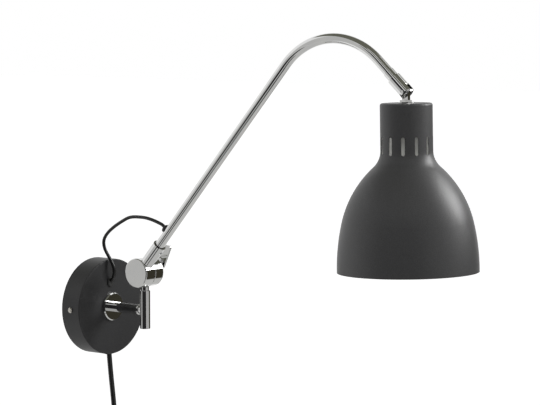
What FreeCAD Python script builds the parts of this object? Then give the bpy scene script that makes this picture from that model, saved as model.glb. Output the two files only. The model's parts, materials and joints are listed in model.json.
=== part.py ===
"""Plug-in wall lamp with a swinging and tilting tube arm and a vented metal shade.

Frame: millimetres, +Z up. The origin is the centre of the wall cover's back, on the wall.
The wall is the plane Y = 0 and the lamp reaches out towards -Y.
"""
import FreeCAD, Part
import math
import os

V = FreeCAD.Vector
X, Y, Z = V(1, 0, 0), V(0, 1, 0), V(0, 0, 1)
OUT = V(0, -1, 0)  # away from the wall
DOWN = V(0, 0, -1)

# ---------------------------------------------------------------- driving sizes, mm and degrees
seat_gap = 0.1  # between faces that turn on each other
running_gap = 0.06  # radial, between a shaft and the bore that it turns in
slide_gap = 0.3  # beside a blade in its slot

# wall cover and the bracket behind it
cover_radius = 60.0
cover_depth = 29.0
cover_wall = 1.5
cover_edge = 1.2
side_screw_depth = 14.5
side_screw_radius = 1.95
side_screw_head = 3.4
side_screw_head_height = 2.0
bracket_radius = 52.0
bracket_sheet = 1.5
ear_width = 16.0
ear_height = 20.0
ear_gap = 1.3
wall_slot_spacing = 60.0
wall_slot_radius = 2.5
wall_slot_length = 12.0
wire_hole_radius = 10.0

# stub that carries the swivel
thread_radius = 5.0
thread_length = 14.0
thread_clearance = 0.2
rosette_radius = 17.5
rosette_thickness = 3.5
rosette_chamfer = 1.2
stub_radius = 6.4
stub_neck_radius = 5.2
stub_neck_length = 2.0
stub_washer_radius = 10.0
stub_washer_thickness = 1.5
stub_nut_flats = 16.0
stub_nut_height = 5.0

# upright swivel
swivel_reach = 85.0  # wall to the upright axis
sleeve_radius = 6.5
sleeve_top = 25.0
sleeve_bottom = -23.0
sleeve_chamfer = 0.5
post_radius = 4.0
neck_radius = 5.0
retainer_bore = 5.4
retainer_depth = 6.0
retainer_radius = 5.2
retainer_thickness = 1.0
retainer_screw_radius = 2.0
retainer_screw_length = 8.0
retainer_head_radius = 3.6
retainer_head_height = 2.4

# clamping knuckle
knuckle_height = 47.6  # its axis above the origin
knuckle_radius = 18.2
arm_half_face = -17.3  # x of the polished face
base_half_face = 14.6
knuckle_seam = -0.4  # x of the base half's inner face
friction_disc_radius = 16.5
friction_disc_thickness = 0.5
knuckle_edge = 1.4  # rounding of the outer rims
knuckle_seam_edge = 0.8  # rounding beside the seam
knuckle_stud_radius = 3.0
knuckle_stud_depth = 10.0  # of the stud in the arm half
lever_hub_radius = 7.5
lever_hub_length = 6.5
lever_thickness = 3.0
lever_outline = ((-7.0, 1.0), (-14.5, 5.0), (-27.0, 32.5), (-14.5, 34.0), (-2.0, 7.5))
lever_corner = 2.2
stud_tail = 1.5  # of the stud past the lever

# swan-neck arm
arm_offset = 8.1  # the arm's plane is this far towards -X
arm_elevation = 48.6
tube_radius = 6.0
tube_wall = 1.2
socket_wall = 2.2
socket_length = 48.3  # from the knuckle's axis to the socket's mouth
socket_floor = 24.0
socket_mouth_gap = 0.9  # round the tube
socket_mouth_depth = 2.0
grub_place = 42.0
grub_radius = 2.0
grub_length = 2.6
bend_start = 348.0
bend_radius = 96.2
bend_turn = 90.0
cable_hole_place = 71.2
cable_hole_radius = 3.6
ferrule_start = 19.6  # along the tube past the bend
ferrule_length = 10.1
ferrule_wall = 0.7
fork_wall = 2.3
fork_socket = 12.0
fork_chamfer = 0.5
fork_rounding = 2.2
fork_wire_bore = 3.2
pivot_place = 51.75  # along the tube past the bend
fork_end = 4.4  # past the pivot
fork_slot_floor = 5.2  # before the pivot

# shade and its tilting stem
shade_lean = 1.2  # its top towards the wall
pivot_above_rim = 203.5
shade_height = 190.8
rim_radius = 80.6
rim_straight = 3.0
lower_dome_radius = 239.0
lower_dome_turn = 12.9
upper_dome_radius = 120.5
shoulder_radius = 24.8
shade_neck_radius = 29.8
shade_top_corner = 2.6
shade_sheet = 0.8
vent_count = 12
vent_phase = -1.7
vent_width = 4.0
vent_length = 20.7
vent_foot = 132.7
hinge_pin_radius = 2.0
tongue_thickness = 4.6
tongue_width = 8.0
tongue_end_radius = 4.2
stem_radius = 4.9
stem_top = 9.2  # below the pivot
stem_length = 20.0
stem_washer_radius = 9.5
stem_washer_thickness = 1.2
stem_nut_flats = 13.5
stem_nut_height = 2.2

# lamp holder for an E27 lamp
holder_cap_radius = 17.0
holder_cap_height = 16.0
holder_radius = 19.8
holder_length = 42.0
holder_wall = 4.4
shell_bore = 13.3
shell_sheet = 0.5
shell_length = 24.0
contact_radius = 3.5
contact_height = 3.0

# cables
loop_cable_radius = 2.1
cover_grommet_height = 31.0
cover_grommet_side = -2.8
cover_grommet_radius = 6.2
cover_grommet_hole = 4.6
cover_grommet_front = 1.8
grommet_back = 1.5
grommet_flare = 0.9  # of its mouth round the cable
loop_exit_rise = 36.0  # degrees above level, of the cable's way out of the cover
loop_exit_drop = 0.3  # of the cable in the grommet's hole
arm_grommet_radius = 5.6
arm_grommet_rise = 2.0
arm_grommet_boss_radius = 3.9
arm_grommet_boss_rise = 3.0
mains_radius = 3.2
mains_from_front = 11.5  # its line behind the cover's front
mains_angle = 5.7  # off straight down, towards +X
bush_radius = 6.0
bush_hole = 4.7
bush_thickness = 1.4
anchor_near, anchor_far = 37.0, 47.0  # from the cover's centre
anchor_half_width = 9.0
anchor_roof = 4.5
terminal_size = (28.0, 12.0, 15.0)
terminal_bottom = -34.0
terminal_poles = 2
pole_spacing = 12.0
pole_bore = 2.0

# put-away coil, its tie and its plug
coil_pitch = 7.0
coil_least_radius = 25.5
coil_half_turns_in = 7
coil_half_turns_out = 6
coil_height = -190.0
coil_tail = 32.0
tie_width = 5.0
tie_sheet = 1.2
tie_gap = 0.4
boot_length = 14.0
boot_small, boot_large = 3.9, 6.0
plug_length = 34.0
plug_half_width, plug_half_depth = 13.0, 6.8
plug_waist = 0.72
pin_spacing = 19.0
pin_radius = 2.0
pin_length = 19.0

# ---------------------------------------------------------------- sizes and places worked out from them
socket_radius = tube_radius + socket_wall
fork_radius = tube_radius + fork_wall
mains_depth = cover_depth - mains_from_front
axis_base = OUT * swivel_reach
knuckle = V(0, -swivel_reach, knuckle_height)
arm_half_inner = knuckle_seam - friction_disc_thickness - seat_gap
arm_root = knuckle - X * arm_offset


def heading(elevation):
    """Unit vector that points out from the wall at an elevation, in the arm's plane."""
    a = math.radians(elevation)
    return V(0, -math.cos(a), math.sin(a))


arm_way = heading(arm_elevation)
arm_up = heading(arm_elevation + 90)  # square to the tube, on its wall side
end_way = heading(arm_elevation - bend_turn)
end_up = heading(arm_elevation - bend_turn + 90)
bend_in = arm_root + arm_way * bend_start
bend_centre = bend_in - arm_up * bend_radius
bend_out = bend_centre + end_up * bend_radius
half_turn_up = heading(arm_elevation - bend_turn / 2 + 90)
bend_middle = bend_centre + half_turn_up * bend_radius
pivot = bend_out + end_way * pivot_place
fork_start = ferrule_start + ferrule_length
mains_way = V(math.sin(math.radians(mains_angle)), 0, -math.cos(math.radians(mains_angle)))
mains_origin = V(0, -mains_depth, 0)
coil_outer = coil_least_radius + coil_half_turns_in / 2 * coil_pitch

# cable routes: points chosen by hand, straight runs between them joined by tangent arcs
mains_route = [
    mains_origin + mains_way * 36.0,
    mains_origin + mains_way * 78.0,
    V(13.6, -mains_depth, -119.5),
    V(17.0, -mains_depth, -152.5),
    V(17.0, -mains_depth, coil_height + 2 * mains_radius),
]
coil_centre = V(mains_route[-1].x - coil_outer, -mains_depth, coil_height)
cable_hole = arm_root + arm_way * cable_hole_place
loop_exit = V(cover_grommet_side, cover_wall - cover_depth, cover_grommet_height - loop_exit_drop)
loop_exit_way = heading(loop_exit_rise)
loop_route_low = [
    loop_exit,
    loop_exit + loop_exit_way * 5.2,
    V(-2.9, -34.8, 37.9),
    V(-3.3, -36.3, 43.3),
    V(-4.2, -36.4, 49.9),
    V(-5.8, -33.9, 57.6),
    V(-8.0, -29.8, 65.6),
    V(-9.8, -25.3, 74.2),
    V(-10.6, -24.6, 84.0),
    V(-10.4, -31.0, 93.4),
    V(-9.8, -41.8, 101.8),
    V(-9.0, -54.8, 109.5),
    V(-8.1, -68.2, 116.3),
    V(-8.1, -79.0, 116.5),
]
loop_route_high = [
    V(-8.1, -79.0, 116.5),
    V(-8.1, -89.8, 116.7),
    V(-8.1, -98.8, 115.6),
    V(-8.1, -106.8, 114.0),
    V(-8.1, -114.5, 111.8),
    cable_hole + arm_up * 12.2,
    cable_hole + arm_up * 3.3,
]


# ---------------------------------------------------------------- small builders
def rod(radius, start, way, length):
    return Part.makeCylinder(radius, length, start, way)


def ring(outer, inner, start, way, length):
    return rod(outer, start, way, length).cut(rod(inner, start, way, length))


def block(low, high):
    return Part.makeBox(high.x - low.x, high.y - low.y, high.z - low.z, low)


def hexagon(flats, start, way, across, height):
    """Hexagonal prism, with a flat square to the vector across."""
    side = way.cross(across).normalize()
    reach = flats / math.sqrt(3)
    corners = []
    for k in range(7):
        a = math.radians(60 * k + 30)
        corners.append(start + across * (reach * math.cos(a)) + side * (reach * math.sin(a)))
    return Part.Face(Part.makePolygon(corners)).extrude(way * height)


def stadium(half_length, radius, centre, along, through, depth):
    """Slot cutter: a round-ended bar of that half length, centred, pushed through by depth."""
    side = along.cross(through).normalize() * radius
    a, b = centre - along * (half_length - radius), centre + along * (half_length - radius)
    edges = [
        Part.LineSegment(a + side, b + side).toShape(),
        Part.Arc(b + side, b + along * radius, b - side).toShape(),
        Part.LineSegment(b - side, a - side).toShape(),
        Part.Arc(a - side, a - along * radius, a + side).toShape(),
    ]
    return Part.Face(Part.Wire(edges)).extrude(through * depth)


def turned(points, origin, way, across):
    """Solid of revolution of a polygon of (radius, distance along way) points."""
    corners = [origin + across * r + way * h for r, h in points]
    return Part.Face(Part.makePolygon(corners + corners[:1])).revolve(origin, way, 360)


def rounded_route(points):
    """Wire of straight runs joined by tangent arcs, and the radii of those arcs."""
    edges, radii, at = [], [], points[0]
    for before, here, after in zip(points, points[1:], points[2:]):
        way_in, way_out = (here - before).normalize(), (after - here).normalize()
        half = way_in.getAngle(way_out) / 2
        cut = 0.45 * min((here - before).Length, (after - here).Length)
        radii.append(cut / math.tan(half))
        start, end = here - way_in * cut, here + way_out * cut
        bisector = (way_out - way_in).normalize()
        middle = here + bisector * (radii[-1] / math.cos(half) - radii[-1])
        edges.append(Part.LineSegment(at, start).toShape())
        edges.append(Part.Arc(start, middle, end).toShape())
        at = end
    edges.append(Part.LineSegment(at, points[-1]).toShape())
    return Part.Wire(edges), radii


def tube_along(path, radius, start, way):
    circle = Part.Wire([Part.Circle(start, way, radius).toShape()])
    solid = path.makePipeShell([circle], True, False)
    return Part.Solid(solid) if solid.ShapeType != "Solid" else solid


def cable(name, points, radius):
    """Plain round cable along a route. Prints its bends and compares its volume."""
    path, radii = rounded_route(points)
    solid = tube_along(path, radius, points[0], points[1] - points[0])
    ratio = solid.Volume / (math.pi * radius**2 * path.Length)
    print(name, "length", round(path.Length, 1), "volume ratio", round(ratio, 4))
    print(name, "bend radii", [round(r, 1) for r in radii])
    return solid


# ---------------------------------------------------------------- wall cover and bracket
def wall_cover():
    outer = rod(cover_radius, V(0, 0, 0), OUT, cover_depth)
    front_edges = [e for e in outer.Edges if abs(e.CenterOfMass.y + cover_depth) < 0.01 and e.Closed]
    outer = outer.makeFillet(cover_edge, front_edges)
    body = outer.cut(rod(cover_radius - cover_wall, V(0, 0, 0), OUT, cover_depth - cover_wall))
    body = body.cut(rod(thread_radius + thread_clearance, V(0, 0, 0), OUT, cover_depth))
    grommet_line = V(cover_grommet_side, 0, cover_grommet_height)
    body = body.cut(rod(cover_grommet_hole, grommet_line, OUT, cover_depth))
    screw_line = V(-cover_radius, -side_screw_depth, 0)
    body = body.cut(rod(side_screw_radius + 0.25, screw_line, X, 2 * cover_radius))
    return body.cut(rod(bush_hole, mains_origin, mains_way, cover_radius))


def ear(side):
    """One upright ear of the bracket, with the tab that carries it and its threaded hole."""
    face = cover_radius - cover_wall - ear_gap
    inner = face - bracket_sheet
    tab = block(V(inner - 8, -bracket_sheet, -ear_width / 2), V(face, 0, ear_width / 2))
    upright = block(V(inner, -ear_height, -ear_width / 2), V(face, 0, ear_width / 2))
    hole = rod(side_screw_radius, V(inner - 1, -side_screw_depth, 0), X, bracket_sheet + 2)
    shape = tab.fuse(upright).cut(hole)
    return shape if side > 0 else shape.mirror(V(0, 0, 0), X)


def wall_bracket():
    plate = rod(bracket_radius, V(0, 0, 0), OUT, bracket_sheet)
    for side in (1, -1):
        plate = plate.fuse(ear(side))
    plate = plate.cut(rod(wire_hole_radius, V(0, 0, 0), OUT, bracket_sheet))
    for side in (1, -1):
        centre = X * (side * wall_slot_spacing / 2)
        slot = stadium(wall_slot_length / 2, wall_slot_radius, centre, X, OUT, bracket_sheet)
        plate = plate.cut(slot)
    return plate.removeSplitter()


def cover_screws():
    """Two slotted pan-head screws that hold the cover on the bracket's ears."""
    head = turned(
        [(0, 0), (side_screw_head, 0), (side_screw_head, side_screw_head_height * 0.45),
         (side_screw_head * 0.62, side_screw_head_height), (0, side_screw_head_height)],
        V(cover_radius, -side_screw_depth, 0), X, Z)
    slot = block(
        V(cover_radius + side_screw_head_height * 0.5, -side_screw_depth - 5, -0.4),
        V(cover_radius + 5, -side_screw_depth + 5, 0.4))
    shank = rod(side_screw_radius, V(cover_radius, -side_screw_depth, 0), -X, 8.0)
    screw = head.cut(slot).fuse(shank)
    return Part.makeCompound([screw, screw.mirror(V(0, 0, 0), X)])


def terminal_block():
    """Two-pole connector block on the bracket, with wire bores and screw wells."""
    width, depth, height = terminal_size
    back = -bracket_sheet
    body = block(
        V(-width / 2, back - depth, terminal_bottom), V(width / 2, back, terminal_bottom + height))
    for pole in range(terminal_poles):
        x = (pole - (terminal_poles - 1) / 2) * pole_spacing
        bore = rod(pole_bore, V(x, back - depth / 2, terminal_bottom), Z, height)
        body = body.cut(bore)
        for level in (0.28, 0.72):
            well_start = V(x, back - depth, terminal_bottom + height * level)
            body = body.cut(rod(pole_bore * 0.9, well_start, Y, depth / 2))
    return body


def cord_anchor():
    """Moulded saddle on the bracket that grips the mains lead inside the cover."""
    centre = mains_origin + mains_way * ((anchor_near + anchor_far) / 2)
    body = block(
        V(centre.x - anchor_half_width, -mains_depth - anchor_roof, -anchor_far),
        V(centre.x + anchor_half_width, -bracket_sheet, -anchor_near))
    upright = [e for e in body.Edges if abs(e.tangentAt(e.FirstParameter).z) > 0.9
               and e.CenterOfMass.y < -mains_depth]
    body = body.makeFillet(anchor_roof * 0.6, upright)
    return body.cut(rod(mains_radius, mains_origin, mains_way, cover_radius))


# ---------------------------------------------------------------- stub and swivel sleeve
def rosette():
    front = cover_depth + rosette_thickness
    return turned(
        [(thread_radius + thread_clearance, cover_depth), (rosette_radius, cover_depth),
         (rosette_radius, front - rosette_chamfer), (rosette_radius - rosette_chamfer, front),
         (thread_radius + thread_clearance, front)],
        V(0, 0, 0), OUT, X)


def stub_arm():
    """Turned rod with a threaded end through the cover, coped to the swivel sleeve."""
    seat = cover_depth + rosette_thickness
    neck_start = swivel_reach - sleeve_radius - stub_neck_length
    body = turned(
        [(0, seat - thread_length), (thread_radius, seat - thread_length), (thread_radius, seat),
         (stub_radius, seat), (stub_radius, neck_start - 1.5), (stub_neck_radius, neck_start),
         (stub_neck_radius, swivel_reach - sleeve_radius / 2), (0, swivel_reach - sleeve_radius / 2)],
        V(0, 0, 0), OUT, X)
    return body.cut(rod(sleeve_radius, axis_base + Z * sleeve_bottom, Z, sleeve_top - sleeve_bottom))


def stub_washer():
    start = OUT * (cover_depth - cover_wall - stub_washer_thickness)
    return ring(stub_washer_radius, thread_radius + thread_clearance, start, OUT, stub_washer_thickness)


def stub_nut():
    start = OUT * (cover_depth - cover_wall - stub_washer_thickness - stub_nut_height)
    nut = hexagon(stub_nut_flats, start, OUT, X, stub_nut_height)
    return nut.cut(rod(thread_radius, start, OUT, stub_nut_height))


def swivel_sleeve():
    height = sleeve_top - sleeve_bottom
    base = axis_base + Z * sleeve_bottom
    body = turned(
        [(0, 0), (sleeve_radius - sleeve_chamfer, 0), (sleeve_radius, sleeve_chamfer),
         (sleeve_radius, height - sleeve_chamfer), (sleeve_radius - sleeve_chamfer, height), (0, height)],
        base, Z, X)
    body = body.cut(rod(post_radius + running_gap, base, Z, height))
    return body.cut(rod(retainer_bore, base, Z, retainer_depth))


# ---------------------------------------------------------------- turning base of the knuckle
def knuckle_half(x_outer, x_inner):
    """Knuckle disc along X with its outer rim and its rim at the seam rounded."""
    disc = rod(knuckle_radius, V(min(x_outer, x_inner), -swivel_reach, knuckle_height), X,
               abs(x_outer - x_inner))
    for x, rounding in ((x_outer, knuckle_edge), (x_inner, knuckle_seam_edge)):
        rim = [e for e in disc.Edges if e.Closed and abs(e.CenterOfMass.x - x) < 0.01]
        disc = disc.makeFillet(rounding, rim)
    return disc


def swivel_knuckle():
    """Base half of the knuckle with the post that turns in the sleeve."""
    disc = knuckle_half(base_half_face, knuckle_seam)
    shoulder = sleeve_top + seat_gap
    clear_top = knuckle_height - knuckle_radius - slide_gap
    post_foot = sleeve_bottom + retainer_depth - seat_gap
    neck = rod(neck_radius, axis_base + Z * shoulder, Z, clear_top - shoulder)
    stalk = rod(neck_radius, axis_base + Z * clear_top, Z, knuckle_radius / 2)
    stalk = stalk.common(block(
        V(knuckle_seam, -swivel_reach - neck_radius, clear_top),
        V(neck_radius, -swivel_reach + neck_radius, knuckle_height)))
    post = rod(post_radius, axis_base + Z * post_foot, Z, clear_top - post_foot)
    body = disc.fuse([neck, stalk, post]).removeSplitter()
    body = body.cut(rod(retainer_screw_radius, axis_base + Z * post_foot, Z, retainer_screw_length))
    stud_hole = knuckle_stud_radius + running_gap
    return body.cut(rod(stud_hole, V(knuckle_seam, -swivel_reach, knuckle_height), X, 40))


def retainer_washer():
    top = sleeve_bottom + retainer_depth - seat_gap
    start = axis_base + Z * (top - retainer_thickness)
    return ring(retainer_radius, retainer_screw_radius, start, Z, retainer_thickness)


def retainer_screw():
    head_top = sleeve_bottom + retainer_depth - seat_gap - retainer_thickness
    start = axis_base + Z * (head_top - retainer_head_height)
    head = rod(retainer_head_radius, start, Z, retainer_head_height)
    shank = rod(retainer_screw_radius, start, Z, retainer_head_height + retainer_screw_length)
    socket = hexagon(2.5, start, Z, X, retainer_head_height * 0.6)
    return head.fuse(shank).cut(socket)


def friction_disc():
    start = V(knuckle_seam - friction_disc_thickness, -swivel_reach, knuckle_height)
    bore = knuckle_stud_radius + running_gap
    return ring(friction_disc_radius, bore, start, X, friction_disc_thickness)


# ---------------------------------------------------------------- arm
def arm_knuckle():
    """Arm half of the knuckle and the socket that takes the tube, one casting."""
    disc = knuckle_half(arm_half_face, arm_half_inner)
    socket = rod(socket_radius, arm_root, arm_way, socket_length)
    beside = rod(knuckle_radius + 2 * slide_gap, V(arm_half_inner, -swivel_reach, knuckle_height), X, 40)
    beyond = rod(knuckle_radius - 1, V(arm_half_face - 5, -swivel_reach, knuckle_height), X, 5)
    body = disc.fuse(socket.cut(beside).cut(beyond)).removeSplitter()
    body = body.cut(rod(tube_radius, arm_root + arm_way * socket_floor, arm_way, socket_length))
    mouth = arm_root + arm_way * (socket_length - socket_mouth_depth)
    body = body.cut(rod(tube_radius + socket_mouth_gap, mouth, arm_way, socket_mouth_depth))
    body = body.cut(rod(grub_radius, arm_root + arm_way * grub_place, -arm_up, socket_radius))
    stud_end = V(arm_half_inner - knuckle_stud_depth, -swivel_reach, knuckle_height)
    return body.cut(rod(knuckle_stud_radius, stud_end, X, knuckle_stud_depth))


def knuckle_stud():
    start = V(arm_half_inner - knuckle_stud_depth, -swivel_reach, knuckle_height)
    end = base_half_face + seat_gap + lever_hub_length + stud_tail
    return rod(knuckle_stud_radius, start, X, end - start.x)


def grub_screw():
    start = arm_root + arm_way * grub_place - arm_up * tube_radius
    screw = rod(grub_radius, start, -arm_up, grub_length - 0.8)
    socket_start = start - arm_up * (grub_length - 2.0)
    return screw.cut(hexagon(1.6, socket_start, -arm_up, arm_way, 2.0))


def arm_path(inset):
    """The tube's centreline from the socket's floor to the fork, longer by inset at each end."""
    start = arm_root + arm_way * (socket_floor - inset)
    end = bend_out + end_way * (fork_start + fork_socket + inset)
    edges = [
        Part.LineSegment(start, bend_in).toShape(),
        Part.Arc(bend_in, bend_middle, bend_out).toShape(),
        Part.LineSegment(bend_out, end).toShape(),
    ]
    return Part.Wire(edges), start


def inner_lead():
    """The cable's hidden stretch inside the tube, from the grommet to the fork."""
    start = arm_root + arm_way * (cable_hole_place + cable_hole_radius)
    end = pivot - end_way * (fork_slot_floor + slide_gap)
    edges = [
        Part.LineSegment(start, bend_in).toShape(),
        Part.Arc(bend_in, bend_middle, bend_out).toShape(),
        Part.LineSegment(bend_out, end).toShape(),
    ]
    return tube_along(Part.Wire(edges), loop_cable_radius, start, arm_way)


def arm_tube():
    path, start = arm_path(0)
    outer = tube_along(path, tube_radius, start, arm_way)
    longer, longer_start = arm_path(1)
    bore = tube_along(longer, tube_radius - tube_wall, longer_start, arm_way)
    return outer.cut(bore).cut(rod(cable_hole_radius, cable_hole, arm_up, 2 * tube_radius))


def ferrule():
    start = bend_out + end_way * ferrule_start
    return ring(tube_radius + ferrule_wall, tube_radius, start, end_way, ferrule_length)


def head_fork():
    """Slotted sleeve on the tube's end that carries the shade's hinge pin."""
    length = pivot_place + fork_end - fork_start
    start = bend_out + end_way * fork_start
    body = turned(
        [(0, 0), (fork_radius - fork_chamfer, 0), (fork_radius, fork_chamfer),
         (fork_radius, length), (0, length)],
        start, end_way, X)
    tip = start + end_way * length
    body = body.makeFillet(
        fork_rounding, [e for e in body.Edges if e.Closed and (e.CenterOfMass - tip).Length < 0.01])
    body = body.cut(rod(tube_radius, start, end_way, fork_socket))
    body = body.cut(rod(fork_wire_bore, start, end_way, length - fork_end - fork_slot_floor / 2))
    half = tongue_thickness / 2 + slide_gap
    slot = Part.makeBox(2 * half, 4 * fork_radius, fork_slot_floor + fork_end + 5)
    slot.translate(V(-half, -2 * fork_radius, -fork_slot_floor))
    slot.Placement = FreeCAD.Placement(pivot, FreeCAD.Rotation(X, end_up, end_way)) * slot.Placement
    body = body.cut(slot)
    return body.cut(rod(hinge_pin_radius, pivot - X * (2 * fork_radius), X, 4 * fork_radius))


def hinge_pin():
    half = fork_radius - 0.3
    return rod(hinge_pin_radius, pivot - X * half, X, 2 * half)


# ---------------------------------------------------------------- clamping lever
def clamp_lever():
    """Threaded hub and a flat wing, beside the base half."""
    hub_start = V(base_half_face + seat_gap, -swivel_reach, knuckle_height)
    hub = turned(
        [(0, 0), (lever_hub_radius, 0), (lever_hub_radius, lever_hub_length - 1),
         (lever_hub_radius - 1, lever_hub_length), (0, lever_hub_length)],
        hub_start, X, Z)
    inner = lever_hub_length - lever_thickness - 0.5
    corners = [hub_start + X * inner + V(0, y, z) for y, z in lever_outline]
    wing = Part.Face(Part.makePolygon(corners + corners[:1])).extrude(X * lever_thickness)
    tips = [e for e in wing.Edges if abs(e.tangentAt(e.FirstParameter).x) > 0.9
            and e.CenterOfMass.z > knuckle_height + 25]
    wing = wing.makeFillet(lever_corner, tips)
    return hub.fuse(wing).removeSplitter().cut(rod(knuckle_stud_radius, hub_start, X, lever_hub_length))


# ---------------------------------------------------------------- shade, built upright on its rim's centre
def shade_profile(inset):
    """Edges of the shade's outline from the rim to the axis, moved inwards by inset."""
    turn = math.radians(lower_dome_turn)
    spread = lower_dome_radius * (1 - math.cos(turn)) + upper_dome_radius * math.cos(turn)
    top_turn = math.acos(
        (spread + shoulder_radius - (rim_radius - shade_neck_radius))
        / (upper_dome_radius + shoulder_radius))
    lower = V(rim_radius - lower_dome_radius, 0, rim_straight)

    def at(centre, radius, angle):
        return centre + V(radius * math.cos(angle), 0, radius * math.sin(angle))

    upper = at(lower, lower_dome_radius - upper_dome_radius, turn)
    shoulder = at(upper, upper_dome_radius + shoulder_radius, top_turn)
    corner = V(shade_neck_radius - shade_top_corner, 0, shade_height - shade_top_corner)
    r1, r2 = lower_dome_radius - inset, upper_dome_radius - inset
    r3, r4 = shoulder_radius + inset, shade_top_corner - inset
    p = [
        V(rim_radius - inset, 0, 0),
        at(lower, r1, 0),
        at(lower, r1, turn),
        at(upper, r2, top_turn),
        at(shoulder, r3, math.pi),
        at(corner, r4, 0),
        at(corner, r4, math.pi / 2),
        V(0, 0, shade_height - inset),
    ]
    edges = [
        Part.LineSegment(p[0], p[1]).toShape(),
        Part.Arc(p[1], at(lower, r1, turn / 2), p[2]).toShape(),
        Part.Arc(p[2], at(upper, r2, (turn + top_turn) / 2), p[3]).toShape(),
        Part.Arc(p[3], at(shoulder, r3, (math.pi + top_turn + math.pi) / 2), p[4]).toShape(),
        Part.LineSegment(p[4], p[5]).toShape(),
        Part.Arc(p[5], at(corner, r4, math.pi / 4), p[6]).toShape(),
        Part.LineSegment(p[6], p[7]).toShape(),
    ]
    return edges, p[0], p[-1]


def vent_slot(angle):
    a = math.radians(angle)
    way = V(math.cos(a), math.sin(a), 0)
    centre = V(0, 0, vent_foot + vent_length / 2) + way * (shade_neck_radius - 4 * shade_sheet)
    return stadium(vent_length / 2, vent_width / 2, centre, Z, way, 8 * shade_sheet)


def shade_shell():
    outer, outer_rim, outer_top = shade_profile(0)
    inner, inner_rim, inner_top = shade_profile(shade_sheet)
    closing = [
        Part.LineSegment(outer_top, inner_top).toShape(),
        Part.LineSegment(inner_rim, outer_rim).toShape(),
    ]
    section = Part.Wire(Part.__sortEdges__(outer + inner + closing))
    shell = Part.Face(section).revolve(V(0, 0, 0), Z, 360)
    shell = shell.cut(rod(stem_radius, Z * (shade_height - 10), Z, 20))
    cutters = [vent_slot(vent_phase + k * 360 / vent_count) for k in range(vent_count)]
    return shell.cut(cutters)


def stem():
    """Threaded stem through the shade's top, with the flat tongue that the pin holds."""
    top = pivot_above_rim - stem_top
    shank = rod(stem_radius, Z * (top - stem_length), Z, stem_length)
    half = V(tongue_thickness / 2, tongue_width / 2, 0)
    blade = block(Z * (top - 1) - half, Z * pivot_above_rim + half)
    pivot_start = V(-tongue_thickness / 2, 0, pivot_above_rim)
    eye = rod(tongue_end_radius, pivot_start, X, tongue_thickness)
    hole = rod(hinge_pin_radius + running_gap, pivot_start - X, X, tongue_thickness + 2)
    return shank.fuse([blade, eye]).removeSplitter().cut(hole)


def stem_washer():
    return ring(stem_washer_radius, stem_radius, Z * shade_height, Z, stem_washer_thickness)


def stem_nut():
    start = Z * (shade_height + stem_washer_thickness)
    return hexagon(stem_nut_flats, start, Z, X, stem_nut_height).cut(rod(stem_radius, start, Z, 10))


def holder_cap():
    """Domed cap of the lamp holder, screwed on the stem under the shade's top."""
    top = shade_height - shade_sheet
    r, h = holder_cap_radius, holder_cap_height
    body = turned(
        [(0, 0), (r * 0.6, 0), (r * 0.92, -h * 0.3), (r, -h * 0.6), (r, -h), (0, -h)],
        Z * top, Z, X)
    body = body.cut(rod(stem_radius, Z * (top - stem_length), Z, stem_length))
    return body.cut(rod(r - 2.5, Z * (top - h), Z, h * 0.35))


def holder_body():
    """Moulded lamp holder, open at its foot, with a floor over the screw shell."""
    top = shade_height - shade_sheet - holder_cap_height
    body = turned(
        [(0, 0), (holder_cap_radius, 0), (holder_radius, -4), (holder_radius, -holder_length + 2),
         (holder_radius - 1, -holder_length), (0, -holder_length)],
        Z * top, Z, X)
    foot = top - holder_length
    return body.cut(rod(holder_radius - holder_wall, Z * foot, Z, holder_length - 8))


def screw_shell():
    foot = shade_height - shade_sheet - holder_cap_height - holder_length + 4
    outer = holder_radius - holder_wall
    flange = ring(outer, shell_bore, Z * (foot + shell_length), Z, shell_sheet)
    return ring(shell_bore + shell_sheet, shell_bore, Z * foot, Z, shell_length).fuse(flange)


def centre_contact():
    floor = shade_height - shade_sheet - holder_cap_height - 8
    return turned(
        [(0, 0), (contact_radius, 0), (contact_radius, -1), (contact_radius / 2, -contact_height),
         (0, -contact_height)],
        Z * floor, Z, X)


def on_shade(shape):
    """Move a piece that was built upright on the rim's centre to the hanging shade's place."""
    lean = FreeCAD.Rotation(X, -shade_lean)
    shape.Placement = FreeCAD.Placement(pivot - lean.multVec(Z * pivot_above_rim), lean)
    return shape


# ---------------------------------------------------------------- grommets and bush
def cover_grommet():
    """Rubber grommet in the cover, its bore slanted and flared the way the cable leaves."""
    r, h = cover_grommet_radius, cover_grommet_front
    start = V(cover_grommet_side, -cover_depth, cover_grommet_height)
    body = turned(
        [(0, -cover_wall - grommet_back), (r - 0.6, -cover_wall - grommet_back), (r - 0.6, -cover_wall),
         (cover_grommet_hole, -cover_wall), (cover_grommet_hole, 0), (r, 0), (r, h * 0.5),
         (r - 0.9, h), (0, h)],
        start, OUT, X)
    body = body.cut(rod(loop_cable_radius, loop_exit - loop_exit_way * 8, loop_exit_way, 20))
    mouth = loop_exit + loop_exit_way * 2
    flare = Part.makeCone(loop_cable_radius, loop_cable_radius + grommet_flare, 4.0, mouth, loop_exit_way)
    return body.cut(flare)


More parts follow.
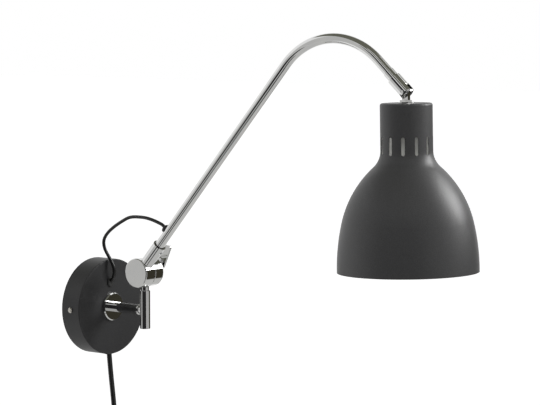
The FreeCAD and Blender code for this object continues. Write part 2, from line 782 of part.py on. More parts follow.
def arm_grommet():
    """Rubber grommet that hugs the tube where the cable goes in, with a boss round the cable."""
    foot = tube_radius - tube_wall
    top = tube_radius + arm_grommet_rise
    boss_top = tube_radius + arm_grommet_boss_rise
    flange = turned(
        [(0, 0), (arm_grommet_radius, 0), (arm_grommet_radius, top - 1.0), (arm_grommet_radius - 1.0, top),
         (arm_grommet_boss_radius, top), (arm_grommet_boss_radius, boss_top - 0.8),
         (arm_grommet_boss_radius - 0.8, boss_top), (0, boss_top)],
        cable_hole, arm_up, arm_way)
    flange = flange.cut(rod(tube_radius, cable_hole - arm_way * 20, arm_way, 40))
    neck = rod(cable_hole_radius, cable_hole + arm_up * foot, arm_up, tube_wall + 1)
    body = flange.fuse(neck).removeSplitter()
    body = body.cut(rod(loop_cable_radius, cable_hole, arm_up, 20))
    mouth = cable_hole + arm_up * (boss_top - 1.2)
    flare = Part.makeCone(loop_cable_radius, loop_cable_radius + grommet_flare / 2, 1.2, mouth, arm_up)
    return body.cut(flare)


def mains_bush():
    """Rubber bush round the mains lead, seated on both faces of the cover's side wall."""
    around = rod(cover_radius, V(0, 0, 0), OUT, cover_depth)
    hollow = rod(cover_radius - cover_wall, V(0, 0, 0), OUT, cover_depth)
    reach = cover_radius + bush_thickness
    outside = rod(bush_radius, mains_origin, mains_way, reach).cut(around)
    neck = rod(bush_hole, mains_origin, mains_way, cover_radius).cut(hollow)
    start = mains_origin + mains_way * (cover_radius - cover_wall - 2 * bush_thickness)
    inside = rod(bush_radius, start, mains_way, 6).common(hollow)
    body = outside.fuse([neck.common(around), inside]).removeSplitter()
    return body.cut(rod(mains_radius, mains_origin, mains_way, 2 * cover_radius))


# ---------------------------------------------------------------- coil, tie and plug
def coil_half(edges, at, x_step, y_step, side):
    """Half a turn from at, over or under the coil's level, and where it ends."""
    end = at + V(x_step, y_step, 0)
    middle = (at + end) * 0.5 + Z * (side * (end - at).Length / 2)
    edges.append(Part.Arc(at, middle, end).toShape())
    return end


def coil_path():
    """One unbroken line: in on the first layer, across in half a turn, out on the second."""
    at = V(mains_route[-1])
    start = V(at)
    below = at - Z * (2 * mains_radius)
    edges = [Part.LineSegment(at, below).toShape()]
    at, radius, side = below, coil_outer, -1
    for k in range(coil_half_turns_in):
        at = coil_half(edges, at, 2 * radius * side, 0, side)
        radius -= coil_pitch / 2
        side = -side
    at = coil_half(edges, at, 2 * radius * side, -coil_pitch, side)
    for k in range(coil_half_turns_out):
        radius += coil_pitch / 2
        side = -side
        at = coil_half(edges, at, 2 * radius * side, 0, side)
    end = at - Z * coil_tail
    edges.append(Part.LineSegment(at, end).toShape())
    return Part.Wire(edges), start, end


def least_gap(path, radius):
    """Least distance between stretches of the tube that aren't neighbours, less its diameter."""
    points = path.discretize(Number=1200)
    step = path.Length / (len(points) - 1)
    skip = int(6 * radius / step)
    least = min(
        (points[i] - points[j]).Length
        for i in range(len(points)) for j in range(i + skip, len(points)))
    return least - 2 * radius


def mains_coil():
    path, start, end = coil_path()
    solid = tube_along(path, mains_radius, start, DOWN)
    ratio = solid.Volume / (math.pi * mains_radius**2 * path.Length)
    print("mains_coil length", round(path.Length, 1), "volume ratio", round(ratio, 4))
    print("mains_coil least gap to itself", round(least_gap(path, mains_radius), 2))
    return solid


def cord_tie():
    """Band round the coil's turns at its foot."""
    inner_r = coil_least_radius - mains_radius - tie_gap
    outer_r = coil_outer + mains_radius + tie_gap
    front = coil_centre.y - coil_pitch - mains_radius - tie_gap
    back = coil_centre.y + mains_radius + tie_gap
    low = V(coil_centre.x - tie_width / 2, front, coil_height - outer_r)
    high = V(coil_centre.x + tie_width / 2, back, coil_height - inner_r)
    wall = V(0, tie_sheet, tie_sheet)
    outer, inner = block(low - wall, high + wall), block(low - X, high + X)
    outer = outer.makeFillet(2.4, [e for e in outer.Edges if abs(e.tangentAt(e.FirstParameter).x) > 0.9])
    return outer.cut(inner)


def plug_section(half_width, half_depth, level, place):
    """Rounded outline of the plug at a level below its start, wide along Y."""
    c = place + DOWN * level
    r = half_depth
    straight = half_width - r
    a, b = c + V(r, straight, 0), c + V(r, -straight, 0)
    d, e = c + V(-r, -straight, 0), c + V(-r, straight, 0)
    return Part.Wire([
        Part.Arc(e, c + V(0, half_width, 0), a).toShape(),
        Part.LineSegment(a, b).toShape(),
        Part.Arc(b, c + V(0, -half_width, 0), d).toShape(),
        Part.LineSegment(d, e).toShape(),
    ])


def mains_plug():
    """Flat two-pin plug with a tapered boot, hanging from the coil's tail."""
    end = coil_path()[2]
    boot = Part.makeCone(boot_small, boot_large, boot_length, end, DOWN)
    place = end + DOWN * boot_length
    levels = ((0.0, plug_waist), (0.45, 0.86), (0.85, 1.0), (1.0, 1.0))
    sections = [
        plug_section(plug_half_width * s, plug_half_depth * (0.55 + 0.45 * s), plug_length * t, place)
        for t, s in levels]
    return boot.fuse(Part.makeLoft(sections, True, True)).removeSplitter()


def plug_pins():
    face = coil_path()[2] + DOWN * (boot_length + plug_length)
    pins = []
    for side in (1, -1):
        start = face + Y * (side * pin_spacing / 2)
        shaft = rod(pin_radius, start, DOWN, pin_length - pin_radius / 2)
        tip = Part.makeCone(
            pin_radius, pin_radius / 2, pin_radius / 2, start + DOWN * (pin_length - pin_radius / 2), DOWN)
        pins.append(shaft.fuse(tip))
    return Part.makeCompound(pins)


# ---------------------------------------------------------------- every piece, by node name
def pieces():
    yield "wall_bracket", wall_bracket()
    yield "wall_cover", wall_cover()
    yield "cover_screws", cover_screws()
    yield "terminal_block", terminal_block()
    yield "cord_anchor", cord_anchor()
    yield "rosette", rosette()
    yield "stub_arm", stub_arm()
    yield "stub_washer", stub_washer()
    yield "stub_nut", stub_nut()
    yield "swivel_sleeve", swivel_sleeve()
    yield "cover_grommet", cover_grommet()
    yield "mains_bush", mains_bush()
    yield "mains_cord", cable("mains_cord", mains_route, mains_radius)
    yield "mains_coil", mains_coil()
    yield "cord_tie", cord_tie()
    yield "mains_plug", mains_plug()
    yield "plug_pins", plug_pins()
    yield "loop_cable_lower", cable("loop_cable_lower", loop_route_low, loop_cable_radius)
    yield "swivel_knuckle", swivel_knuckle()
    yield "retainer_washer", retainer_washer()
    yield "retainer_screw", retainer_screw()
    yield "friction_disc", friction_disc()
    yield "arm_knuckle", arm_knuckle()
    yield "knuckle_stud", knuckle_stud()
    yield "grub_screw", grub_screw()
    yield "arm_tube", arm_tube()
    yield "arm_grommet", arm_grommet()
    yield "inner_lead", inner_lead()
    yield "loop_cable_upper", cable("loop_cable_upper", loop_route_high, loop_cable_radius)
    yield "ferrule", ferrule()
    yield "head_fork", head_fork()
    yield "hinge_pin", hinge_pin()
    yield "clamp_lever", clamp_lever()
    yield "shade_shell", on_shade(shade_shell())
    yield "shade_stem", on_shade(stem())
    yield "stem_washer", on_shade(stem_washer())
    yield "stem_nut", on_shade(stem_nut())
    yield "holder_cap", on_shade(holder_cap())
    yield "holder_body", on_shade(holder_body())
    yield "screw_shell", on_shade(screw_shell())
    yield "centre_contact", on_shade(centre_contact())


os.makedirs("parts", exist_ok=True)
for node, shape in pieces():
    shape.exportStep(f"parts/{node}.step")
    print(node, len(shape.Solids), "solid", round(shape.Volume, 1), "valid", shape.isValid())
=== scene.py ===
"""Looks of the plug-in wall lamp: camera, cords, materials and small pieces, in metres."""
import json
import math

import bpy
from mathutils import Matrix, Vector


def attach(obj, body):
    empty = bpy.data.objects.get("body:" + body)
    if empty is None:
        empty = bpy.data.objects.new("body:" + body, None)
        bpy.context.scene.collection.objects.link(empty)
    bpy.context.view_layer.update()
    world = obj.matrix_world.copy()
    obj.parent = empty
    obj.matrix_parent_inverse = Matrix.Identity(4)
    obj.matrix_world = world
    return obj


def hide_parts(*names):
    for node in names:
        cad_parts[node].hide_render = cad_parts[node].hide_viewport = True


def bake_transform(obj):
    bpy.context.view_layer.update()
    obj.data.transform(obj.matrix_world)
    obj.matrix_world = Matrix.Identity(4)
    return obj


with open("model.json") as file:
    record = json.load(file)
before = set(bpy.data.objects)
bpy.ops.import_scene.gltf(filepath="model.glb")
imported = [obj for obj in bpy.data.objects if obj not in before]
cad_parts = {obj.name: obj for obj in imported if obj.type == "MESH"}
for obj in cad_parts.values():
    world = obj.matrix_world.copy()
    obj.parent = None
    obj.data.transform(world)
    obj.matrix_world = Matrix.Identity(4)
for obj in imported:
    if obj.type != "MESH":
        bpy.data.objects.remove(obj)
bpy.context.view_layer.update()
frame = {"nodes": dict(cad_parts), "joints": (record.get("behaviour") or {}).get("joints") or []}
NODES = frame["nodes"]
JOINTS = {joint["name"]: joint for joint in frame["joints"]}

# ---------------------------------------------------------------- camera
CAMERA_PLACE = (-2.22931, -2.11853, 0.40778)
CAMERA_AZIMUTH = -50.57
CAMERA_ELEVATION = 5.19
CAMERA_LENS = 163.33
CAMERA_SENSOR = 36.0
CAMERA_REACH = 100.0


def make_camera():
    camera = bpy.data.objects.new("camera", bpy.data.cameras.new("camera"))
    camera.data.lens = CAMERA_LENS
    camera.data.sensor_width = CAMERA_SENSOR
    camera.data.clip_end = CAMERA_REACH
    camera.location = CAMERA_PLACE
    camera.rotation_euler = (math.radians(90 - CAMERA_ELEVATION), 0, math.radians(CAMERA_AZIMUTH))
    bpy.context.scene.collection.objects.link(camera)
    bpy.context.scene.camera = camera


make_camera()

# ---------------------------------------------------------------- cord routes, as the source has them
LOOP_RADIUS = 0.0021
MAINS_RADIUS = 0.0032


def heading(elevation):
    """Unit vector that points out from the wall at an elevation in degrees."""
    a = math.radians(elevation)
    return Vector((0, -math.cos(a), math.sin(a)))


LOOP_EXIT = Vector((-0.0028, -0.0275, 0.0307))
LOOP_EXIT_RISE = 36.0  # degrees above level
LOOP_EXIT_WAY = heading(LOOP_EXIT_RISE)
LOOP_STRAIGHT = 0.0052  # of the cable past its exit
LOOP_JOIN = (-0.0081, -0.0790, 0.1165)  # where its two pieces meet
LOOP_LOW = [
    tuple(LOOP_EXIT),
    tuple(LOOP_EXIT + LOOP_EXIT_WAY * LOOP_STRAIGHT),
    (-0.0029, -0.0348, 0.0379),
    (-0.0033, -0.0363, 0.0433),
    (-0.0042, -0.0364, 0.0499),
    (-0.0058, -0.0339, 0.0576),
    (-0.0080, -0.0298, 0.0656),
    (-0.0098, -0.0253, 0.0742),
    (-0.0106, -0.0246, 0.0840),
    (-0.0104, -0.0310, 0.0934),
    (-0.0098, -0.0418, 0.1018),
    (-0.0090, -0.0548, 0.1095),
    (-0.0081, -0.0682, 0.1163),
    LOOP_JOIN,
]
ARM_ROOT = Vector((-0.0081, -0.085, 0.0476))
ARM_ELEVATION = 48.6
ARM_WAY = heading(ARM_ELEVATION)
ARM_UP = heading(ARM_ELEVATION + 90)
CABLE_HOLE_PLACE = 0.0712  # along the tube from the knuckle's axis
CABLE_HOLE = ARM_ROOT + ARM_WAY * CABLE_HOLE_PLACE
CABLE_LAST_POINTS = (0.0122, 0.0033)  # above the tube's axis
LOOP_HIGH = [
    LOOP_JOIN,
    (-0.0081, -0.0898, 0.1167),
    (-0.0081, -0.0988, 0.1156),
    (-0.0081, -0.1068, 0.1140),
    (-0.0081, -0.1145, 0.1118),
] + [tuple(CABLE_HOLE + ARM_UP * height) for height in CABLE_LAST_POINTS]
MAINS_DEPTH = 0.0175
MAINS_ANGLE = math.radians(5.7)
MAINS_ORIGIN = Vector((0, -MAINS_DEPTH, 0))
MAINS_WAY = Vector((math.sin(MAINS_ANGLE), 0, -math.cos(MAINS_ANGLE)))
MAINS_FIRST_POINTS = (0.036, 0.078)  # along the lead from its origin
COIL_HEIGHT = -0.190
MAINS_FREE = [tuple(MAINS_ORIGIN + MAINS_WAY * place) for place in MAINS_FIRST_POINTS] + [
    (0.0136, -MAINS_DEPTH, -0.1195),
    (0.0170, -MAINS_DEPTH, -0.1525),
    (0.0170, -MAINS_DEPTH, COIL_HEIGHT + 2 * MAINS_RADIUS),
]
COIL_PITCH = 0.007
COIL_LEAST_RADIUS = 0.0255
COIL_HALF_TURNS_IN = 7
COIL_HALF_TURNS_OUT = 6
COIL_TAIL = 0.032
TAIL_PARTS = (0.35, 1.0)  # where the tail's points lie along it
COIL_OUTER = COIL_LEAST_RADIUS + COIL_HALF_TURNS_IN / 2 * COIL_PITCH
POINTS_PER_HALF_TURN = 8
STEPS_PER_POINT = 12
STEPS_ROUND_CORD = 6


def coil_points():
    """The coil's turns as control points: in on the back layer, out on the front one."""
    points = []
    at = Vector(MAINS_FREE[-1]) - Vector((0, 0, 2 * MAINS_RADIUS))
    side, radius, step = -1, COIL_OUTER, -COIL_PITCH / 2
    for half in range(COIL_HALF_TURNS_IN + 1 + COIL_HALF_TURNS_OUT):
        climbs = half == COIL_HALF_TURNS_IN
        centre = at + Vector((radius * side, 0, 0))
        swell = 1 / math.cos(math.pi / POINTS_PER_HALF_TURN / 2)
        for k in range(POINTS_PER_HALF_TURN):
            part = (k + 0.5) / POINTS_PER_HALF_TURN
            a = math.pi * part
            along = -side * math.cos(a) * radius * swell
            up = side * math.sin(a) * radius * swell
            points.append(centre + Vector((along, -COIL_PITCH * part if climbs else 0, up)))
        at = at + Vector((2 * radius * side, -COIL_PITCH if climbs else 0, 0))
        side = -side
        if climbs:
            step = -step
        radius += step
    return points, at


def curve_line(name, points, radius):
    """A cord's own curve: one open NURBS spline with the route's points as its control points."""
    data = bpy.data.curves.new(name, "CURVE")
    data.dimensions = "3D"
    spline = data.splines.new("NURBS")
    spline.points.add(len(points) - 1)
    for point, place in zip(spline.points, points):
        point.co = (*place, 1.0)
    spline.order_u = 3
    spline.use_endpoint_u = True
    spline.resolution_u = STEPS_PER_POINT
    data.bevel_depth = radius
    data.bevel_resolution = STEPS_ROUND_CORD
    data.use_fill_caps = True
    cord = bpy.data.objects.new(name, data)
    bpy.context.scene.collection.objects.link(cord)
    return cord


def tube_mesh(name, points, radius):
    """The same line as a mesh tube, and the points that it follows."""
    line = curve_line(name + "_line", points, 0.0)
    graph = bpy.context.evaluated_depsgraph_get()
    centre = bpy.data.meshes.new_from_object(line.evaluated_get(graph))
    path = [tuple(v.co) for v in centre.vertices]
    line.data.bevel_depth = radius
    graph = bpy.context.evaluated_depsgraph_get()
    mesh = bpy.data.meshes.new_from_object(line.evaluated_get(graph))
    mesh.name = name
    for face in mesh.polygons:
        face.use_smooth = len(face.vertices) == 4
    tube = bpy.data.objects.new(name, mesh)
    bpy.context.scene.collection.objects.link(tube)
    bpy.data.objects.remove(line)
    return tube, path


COIL, COIL_END = coil_points()
TAIL = [COIL_END - Vector((0, 0, COIL_TAIL * part)) for part in TAIL_PARTS]
MAINS_POINTS = MAINS_FREE + [tuple(p) for p in COIL + TAIL]
mains_lead = curve_line("mains_lead", MAINS_POINTS, MAINS_RADIUS)
loop_low, loop_low_path = tube_mesh("cable_loop_low", LOOP_LOW, LOOP_RADIUS)
loop_high, loop_high_path = tube_mesh("cable_loop_high", LOOP_HIGH, LOOP_RADIUS)


# ---------------------------------------------------------------- material tools
def new_material(name, colour, metallic, roughness, specular=0.5):
    material = bpy.data.materials.new(name)
    material.use_nodes = True
    shader = material.node_tree.nodes["Principled BSDF"]
    shader.inputs["Base Color"].default_value = (*colour, 1.0)
    shader.inputs["Metallic"].default_value = metallic
    shader.inputs["Roughness"].default_value = roughness
    shader.inputs["Specular IOR Level"].default_value = specular
    return material, shader


def add(owner, kind, **properties):
    """A new shader node with its properties set, in a material or the world."""
    node = owner.node_tree.nodes.new(kind)
    for key, value in properties.items():
        setattr(node, key, value)
    return node


def link(owner, out, into):
    owner.node_tree.links.new(out, into)


def place_noise(material, scale, detail=3.0, stretch=(1, 1, 1)):
    """Noise in the object's own space, with about scale grains to a metre."""
    where = add(material, "ShaderNodeTexCoord")
    mapping = add(material, "ShaderNodeMapping")
    mapping.inputs["Scale"].default_value = stretch
    noise = add(material, "ShaderNodeTexNoise")
    noise.inputs["Scale"].default_value = scale
    noise.inputs["Detail"].default_value = detail
    link(material, where.outputs["Object"], mapping.inputs["Vector"])
    link(material, mapping.outputs["Vector"], noise.inputs["Vector"])
    return noise.outputs["Fac"]


NOISE_LOW, NOISE_HIGH = 0.3, 0.7  # noise mostly keeps between these


def stretched(material, factor):
    """A node that spreads noise over the whole of its output's range."""
    spread = add(material, "ShaderNodeMapRange")
    spread.inputs["From Min"].default_value = NOISE_LOW
    spread.inputs["From Max"].default_value = NOISE_HIGH
    link(material, factor, spread.inputs["Value"])
    return spread


def vary(material, socket, factor, low, high):
    """Drive a socket between two values by noise."""
    spread = stretched(material, factor)
    spread.inputs["To Min"].default_value = low
    spread.inputs["To Max"].default_value = high
    link(material, spread.outputs["Result"], socket)


def tint(material, factor, dark, light):
    """Colour between two shades by noise."""
    mix = add(material, "ShaderNodeMix", data_type="RGBA")
    mix.inputs["A"].default_value = (*dark, 1)
    mix.inputs["B"].default_value = (*light, 1)
    link(material, stretched(material, factor).outputs["Result"], mix.inputs["Factor"])
    return mix.outputs["Result"]


def bumps(material, shader, factor, height):
    bump = add(material, "ShaderNodeBump")
    bump.inputs["Distance"].default_value = height
    bump.inputs["Strength"].default_value = 1.0
    link(material, factor, bump.inputs["Height"])
    link(material, bump.outputs["Normal"], shader.inputs["Normal"])


# ---------------------------------------------------------------- materials
PAINT_SPECULAR = 0.4
PAINT_GRAIN = 1600  # grains to a metre
PAINT_CLOUDS = 18
PAINT_PEEL = 1100
PAINT_PEEL_HEIGHT = 0.00006
COVER_ROUGHNESS = (0.41, 0.49)
SHADE_ROUGHNESS = (0.40, 0.46)
SHADE_DARK = (0.034, 0.034, 0.035)
SHADE_LIGHT = (0.058, 0.058, 0.059)
SHADE_INSIDE_DARK = (0.72, 0.72, 0.70)
SHADE_INSIDE_LIGHT = (0.78, 0.78, 0.76)
INSIDE_LIMIT = -0.3  # a normal's part away from the shade's axis; under this the face is inside


def paint_finish(material, shader, roughness):
    """Slow changes of gloss between two values, and the fine peel of sprayed paint."""
    vary(material, shader.inputs["Roughness"], place_noise(material, PAINT_CLOUDS, 2.0), *roughness)
    bumps(material, shader, place_noise(material, PAINT_PEEL, 2.0), PAINT_PEEL_HEIGHT)


def powder_coat(name, dark, light, roughness):
    """Charcoal paint with fine grains."""
    material, shader = new_material(name, light, 0.0, sum(roughness) / 2, PAINT_SPECULAR)
    grain = place_noise(material, PAINT_GRAIN, 2.0)
    link(material, tint(material, grain, dark, light), shader.inputs["Base Color"])
    paint_finish(material, shader, roughness)
    return material


def chrome(name, grey, roughness):
    """Polished plate with faint handling marks."""
    clean = (grey, grey, grey * 0.985)
    handled = (grey * 0.94,) * 3
    material, shader = new_material(name, clean, 1.0, roughness)
    cloud = place_noise(material, scale=45, detail=4.0)
    fine = place_noise(material, scale=260, stretch=(1, 1, 0.15))
    link(material, tint(material, cloud, handled, clean), shader.inputs["Base Color"])
    vary(material, shader.inputs["Roughness"], fine, roughness * 0.6, roughness * 1.5)
    bumps(material, shader, cloud, height=0.00001)
    return material


def plain_metal(name, colour, roughness, grain_scale):
    """Plated or rolled metal with a fine grain."""
    material, shader = new_material(name, colour, 1.0, roughness)
    grain = place_noise(material, grain_scale, detail=4.0)
    darker = tuple(c * 0.82 for c in colour)
    link(material, tint(material, grain, darker, colour), shader.inputs["Base Color"])
    vary(material, shader.inputs["Roughness"], grain, roughness * 0.75, roughness * 1.3)
    bumps(material, shader, grain, height=0.00003)
    return material


def moulded(name, colour, roughness, grain_scale, height):
    """Moulded plastic or rubber with a fine grain."""
    material, shader = new_material(name, colour, 0.0, roughness)
    grain = place_noise(material, grain_scale)
    cloud = place_noise(material, scale=60, detail=2.0)
    darker = tuple(c * 0.75 for c in colour)
    link(material, tint(material, cloud, darker, colour), shader.inputs["Base Color"])
    vary(material, shader.inputs["Roughness"], cloud, roughness * 0.85, roughness * 1.15)
    bumps(material, shader, grain, height)
    return material


SHADE_LEAN = math.radians(1.2)
SHADE_AXIS = Vector((0, math.sin(SHADE_LEAN), math.cos(SHADE_LEAN)))


def painted_inside_out(name):
    """The shade's paint: charcoal outside, pale where the surface faces the shade's own axis."""
    material, shader = new_material(name, SHADE_LIGHT, 0.0, 0.5, PAINT_SPECULAR)
    where = add(material, "ShaderNodeTexCoord")
    pivot = JOINTS["shade_tilt"]["pos_m"]
    from_axis = add(material, "ShaderNodeVectorMath", operation="SUBTRACT")
    from_axis.inputs[1].default_value = pivot
    link(material, where.outputs["Object"], from_axis.inputs[0])
    along = add(material, "ShaderNodeVectorMath", operation="PROJECT")
    along.inputs[1].default_value = SHADE_AXIS
    link(material, from_axis.outputs["Vector"], along.inputs[0])
    radial = add(material, "ShaderNodeVectorMath", operation="SUBTRACT")
    link(material, from_axis.outputs["Vector"], radial.inputs[0])
    link(material, along.outputs["Vector"], radial.inputs[1])
    outward = add(material, "ShaderNodeVectorMath", operation="NORMALIZE")
    link(material, radial.outputs["Vector"], outward.inputs[0])
    facing = add(material, "ShaderNodeVectorMath", operation="DOT_PRODUCT")
    link(material, outward.outputs["Vector"], facing.inputs[0])
    link(material, where.outputs["Normal"], facing.inputs[1])
    inside = add(material, "ShaderNodeMath", operation="LESS_THAN")
    inside.inputs[1].default_value = INSIDE_LIMIT
    link(material, facing.outputs["Value"], inside.inputs[0])
    grain = place_noise(material, PAINT_GRAIN, 2.0)
    outer = tint(material, grain, SHADE_DARK, SHADE_LIGHT)
    inner = tint(material, grain, SHADE_INSIDE_DARK, SHADE_INSIDE_LIGHT)
    choose = add(material, "ShaderNodeMix", data_type="RGBA")
    link(material, inside.outputs["Value"], choose.inputs["Factor"])
    link(material, outer, choose.inputs["A"])
    link(material, inner, choose.inputs["B"])
    link(material, choose.outputs["Result"], shader.inputs["Base Color"])
    paint_finish(material, shader, SHADE_ROUGHNESS)
    return material


COVER_PAINT = powder_coat("cover_paint", (0.014, 0.014, 0.015), (0.027, 0.027, 0.028), COVER_ROUGHNESS)
SHADE_PAINT = painted_inside_out("shade_paint")
CHROME = chrome("chrome_plate", 0.72, 0.05)
ZINC = plain_metal("zinc_plate", (0.62, 0.63, 0.65), 0.32, 220)
NICKEL = plain_metal("nickel_plate", (0.72, 0.69, 0.64), 0.2, 300)
BRASS = plain_metal("bare_brass", (0.72, 0.52, 0.24), 0.28, 300)
WHITE_PLASTIC = moulded("connector_plastic", (0.78, 0.78, 0.75), 0.45, 500, 0.00003)
BLACK_PLASTIC = moulded("black_plastic", (0.022, 0.022, 0.022), 0.35, 700, 0.00002)
HOLDER_PLASTIC = moulded("holder_plastic", (0.84, 0.84, 0.81), 0.3, 700, 0.00002)
PLUG_PLASTIC = moulded("plug_plastic", (0.014, 0.014, 0.014), 0.42, 900, 0.00004)
RUBBER = moulded("black_rubber", (0.012, 0.012, 0.012), 0.5, 1200, 0.00004)
SHEATH = moulded("cable_sheath", (0.009, 0.009, 0.009), 0.3, 500, 0.00003)
FRICTION = moulded("friction_washer", (0.05, 0.05, 0.048), 0.6, 800, 0.00003)

NODE_MATERIALS = {
    "wall_cover": COVER_PAINT, "shade_shell": SHADE_PAINT,
    "wall_bracket": ZINC, "stub_washer": ZINC, "stub_nut": ZINC, "retainer_washer": ZINC,
    "retainer_screw": ZINC, "knuckle_stud": ZINC, "grub_screw": ZINC,
    "cover_screws": NICKEL, "plug_pins": NICKEL, "screw_shell": NICKEL, "centre_contact": BRASS,
    "terminal_block": WHITE_PLASTIC, "cord_anchor": BLACK_PLASTIC, "cord_tie": BLACK_PLASTIC,
    "holder_cap": HOLDER_PLASTIC, "holder_body": HOLDER_PLASTIC, "mains_plug": PLUG_PLASTIC,
    "cover_grommet": RUBBER, "mains_bush": RUBBER, "arm_grommet": RUBBER,
    "inner_lead": SHEATH, "friction_disc": FRICTION,
    "rosette": CHROME, "stub_arm": CHROME, "swivel_sleeve": CHROME, "swivel_knuckle": CHROME,
    "arm_knuckle": CHROME, "arm_tube": CHROME, "ferrule": CHROME, "head_fork": CHROME,
    "hinge_pin": CHROME, "clamp_lever": CHROME, "shade_stem": CHROME, "stem_washer": CHROME,
    "stem_nut": CHROME,
}
for node, material in NODE_MATERIALS.items():
    mesh = NODES[node].data
    if not mesh.materials:
        mesh.materials.append(material)
    for index in range(len(mesh.materials)):
        mesh.materials[index] = material
for cord in (mains_lead, loop_low, loop_high):
    cord.data.materials.clear()
    cord.data.materials.append(SHEATH)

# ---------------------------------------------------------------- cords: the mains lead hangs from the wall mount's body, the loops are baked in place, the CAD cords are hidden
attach(mains_lead, "wall_mount")
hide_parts("mains_cord", "mains_coil")
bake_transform(loop_low)
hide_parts("loop_cable_lower")
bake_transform(loop_high)
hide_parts("loop_cable_upper")


# ---------------------------------------------------------------- floor, light and surroundings
FLOOR_HEIGHT = -1.35
FLOOR_SIZE = 60.0
LAMP_TARGET = Vector((0, -0.30, 0.15))
CAMERA_WAY = 219.5  # azimuth of the camera from the lamp, degrees from +X towards +Y

# What polished metal shows: azimuth from the camera's, its half width, elevation, its half height, colour
SURROUNDINGS = (
    (0, 180, 90, 52, (0.15, 0.15, 0.12)),  # dim ceiling
    (0, 180, 0, 37, (1.0, 1.0, 1.0)),  # white walls all round
    (-79, 12, 0, 37, (0.60, 0.60, 0.59)),  # shaded end of the left screen
    (-20, 46, -3, 33, (0.025, 0.025, 0.025)),  # dark room behind the camera
    (-18, 25, -53, 7, (0.03, 0.03, 0.03)),  # its foot
    (58, 28, 0, 37, (0.50, 0.50, 0.49)),  # grey wall
    (119, 29, -5, 32, (0.045, 0.042, 0.03)),  # dark furniture on the right
    (110, 17, 50, 12, (1.3, 1.3, 1.3)),  # the softbox
    (-35, 14, 56, 3, (1.0, 1.0, 1.0)),  # strip lamp over the camera
)
FLOOR_GREY = (0.62, 0.62, 0.61)  # as polished metal shows it
FLOOR_PAINT = (0.80, 0.80, 0.80)
FLOOR_ROUGHNESS = 0.9
FLOOR_LIFT = 0.62  # of its own light, for the camera only
WORLD_LIGHT = 0.55
PATCH_BLUR = 5.0  # degrees


def smooth_inside(owner, angle, half, blur):
    """1 where an angle in radians is under half degrees, fading to 0 over the blur."""
    fade = add(owner, "ShaderNodeMapRange", interpolation_type="SMOOTHSTEP")
    fade.inputs["From Min"].default_value = math.radians(half + blur / 2)
    fade.inputs["From Max"].default_value = math.radians(half - blur / 2)
    link(owner, angle, fade.inputs["Value"])
    return fade.outputs["Result"]


def maths(owner, operation, first, second=None):
    """One calculation on one or two values, each a number or another node's output."""
    node = add(owner, "ShaderNodeMath", operation=operation)
    for socket, value in zip(node.inputs, (first, second)):
        if value is None:
            continue
        if isinstance(value, float):
            socket.default_value = value
        else:
            link(owner, value, socket)
    return node.outputs["Value"]


def surroundings(owner, direction):
    """Colour of the studio in a direction, as polished metal shows it."""
    parts = add(owner, "ShaderNodeSeparateXYZ")
    link(owner, direction, parts.inputs["Vector"])
    flat = add(owner, "ShaderNodeVectorMath", operation="MULTIPLY")
    flat.inputs[1].default_value = (1, 1, 0)
    link(owner, direction, flat.inputs[0])
    level = add(owner, "ShaderNodeVectorMath", operation="NORMALIZE")
    link(owner, flat.outputs["Vector"], level.inputs[0])
    height = maths(owner, "ARCSINE", parts.outputs["Z"])
    colour = add(owner, "ShaderNodeRGB")
    colour.outputs["Color"].default_value = (*FLOOR_GREY, 1)
    colour = colour.outputs["Color"]
    for azimuth, half_width, elevation, half_height, grey in SURROUNDINGS:
        off = maths(owner, "ABSOLUTE", maths(owner, "SUBTRACT", height, math.radians(elevation)))
        inside = smooth_inside(owner, off, half_height, PATCH_BLUR)
        if half_width < 180:
            towards = math.radians(CAMERA_WAY + azimuth)
            turn = add(owner, "ShaderNodeVectorMath", operation="DOT_PRODUCT")
            turn.inputs[1].default_value = (math.cos(towards), math.sin(towards), 0)
            link(owner, level.outputs["Vector"], turn.inputs[0])
            aside = maths(owner, "ARCCOSINE", turn.outputs["Value"])
            inside = maths(owner, "MULTIPLY", inside, smooth_inside(owner, aside, half_width, PATCH_BLUR))
        mix = add(owner, "ShaderNodeMix", data_type="RGBA")
        mix.inputs["B"].default_value = (*grey, 1)
        link(owner, inside, mix.inputs["Factor"])
        link(owner, colour, mix.inputs["A"])
        colour = mix.outputs["Result"]
    return colour


def make_floor():
    """Pale floor that keeps its shadows, and that polished metal shows as the studio."""
    mesh = bpy.data.meshes.new("floor")
    half = FLOOR_SIZE / 2
    corners = [(-half, -half), (half, -half), (half, half), (-half, half)]
    mesh.from_pydata([(x, y, FLOOR_HEIGHT) for x, y in corners], [], [(0, 1, 2, 3)])
    floor = bpy.data.objects.new("floor", mesh)
    bpy.context.scene.collection.objects.link(floor)
    material, shader = new_material("floor", FLOOR_PAINT, 0.0, FLOOR_ROUGHNESS)
    path = add(material, "ShaderNodeLightPath")
    lift = maths(material, "MULTIPLY", path.outputs["Is Camera Ray"], FLOOR_LIFT)
    shader.inputs["Emission Color"].default_value = (1, 1, 1, 1)
    link(material, lift, shader.inputs["Emission Strength"])
    place = add(material, "ShaderNodeNewGeometry")
    way = add(material, "ShaderNodeVectorMath", operation="SUBTRACT")
    way.inputs[1].default_value = LAMP_TARGET
    link(material, place.outputs["Position"], way.inputs[0])
    unit = add(material, "ShaderNodeVectorMath", operation="NORMALIZE")
    link(material, way.outputs["Vector"], unit.inputs[0])
    shown = add(material, "ShaderNodeEmission")
    link(material, surroundings(material, unit.outputs["Vector"]), shown.inputs["Color"])
    choose = add(material, "ShaderNodeMixShader")
    link(material, path.outputs["Is Glossy Ray"], choose.inputs["Fac"])
    link(material, shader.outputs["BSDF"], choose.inputs[1])
    link(material, shown.outputs["Emission"], choose.inputs[2])
    output = material.node_tree.nodes["Material Output"]
    link(material, choose.outputs["Shader"], output.inputs["Surface"])
    mesh.materials.append(material)


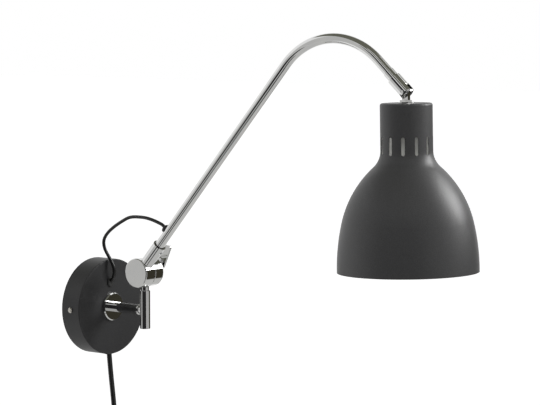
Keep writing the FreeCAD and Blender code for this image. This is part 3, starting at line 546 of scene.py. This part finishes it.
def make_world():
    """Even pale light, white behind the object, and the studio where glossy metal shows it."""
    world = bpy.data.worlds.new("studio")
    bpy.context.scene.world = world
    world.use_nodes = True
    background = world.node_tree.nodes["Background"]
    path = add(world, "ShaderNodeLightPath")
    seen = maths(world, "MAXIMUM", path.outputs["Is Camera Ray"], path.outputs["Is Transmission Ray"])
    where = add(world, "ShaderNodeTexCoord")
    studio = surroundings(world, where.outputs["Generated"])
    glossy = add(world, "ShaderNodeMix", data_type="RGBA")
    glossy.inputs["A"].default_value = (WORLD_LIGHT, WORLD_LIGHT, WORLD_LIGHT, 1)
    link(world, path.outputs["Is Glossy Ray"], glossy.inputs["Factor"])
    link(world, studio, glossy.inputs["B"])
    whole = add(world, "ShaderNodeMix", data_type="RGBA")
    whole.inputs["B"].default_value = (1, 1, 1, 1)
    link(world, seen, whole.inputs["Factor"])
    link(world, glossy.outputs["Result"], whole.inputs["A"])
    link(world, whole.outputs["Result"], background.inputs["Color"])


def area_lamp(name, azimuth, elevation, distance, size, power, in_metal=True):
    """A softbox that faces the lamp, placed by its azimuth from the camera's."""
    data = bpy.data.lights.new(name, "AREA")
    data.shape = "RECTANGLE"
    data.size, data.size_y = size
    data.energy = power
    lamp = bpy.data.objects.new(name, data)
    turn, rise = math.radians(CAMERA_WAY + azimuth), math.radians(elevation)
    way = Vector((math.cos(turn) * math.cos(rise), math.sin(turn) * math.cos(rise), math.sin(rise)))
    lamp.location = LAMP_TARGET + way * distance
    lamp.rotation_mode = "QUATERNION"
    lamp.rotation_quaternion = way.to_track_quat("Z", "Y")
    lamp.visible_glossy = in_metal
    bpy.context.scene.collection.objects.link(lamp)


make_floor()
make_world()
area_lamp("lamp_right", azimuth=101, elevation=27, distance=1.8, size=(0.8, 0.9), power=29)
area_lamp("lamp_left", azimuth=-80, elevation=-5, distance=2.0, size=(0.4, 0.7), power=6, in_metal=False)
area_lamp("lamp_front", azimuth=20, elevation=45, distance=2.2, size=(1.2, 1.0), power=10, in_metal=False)

bpy.context.scene.view_settings.view_transform = "Standard"
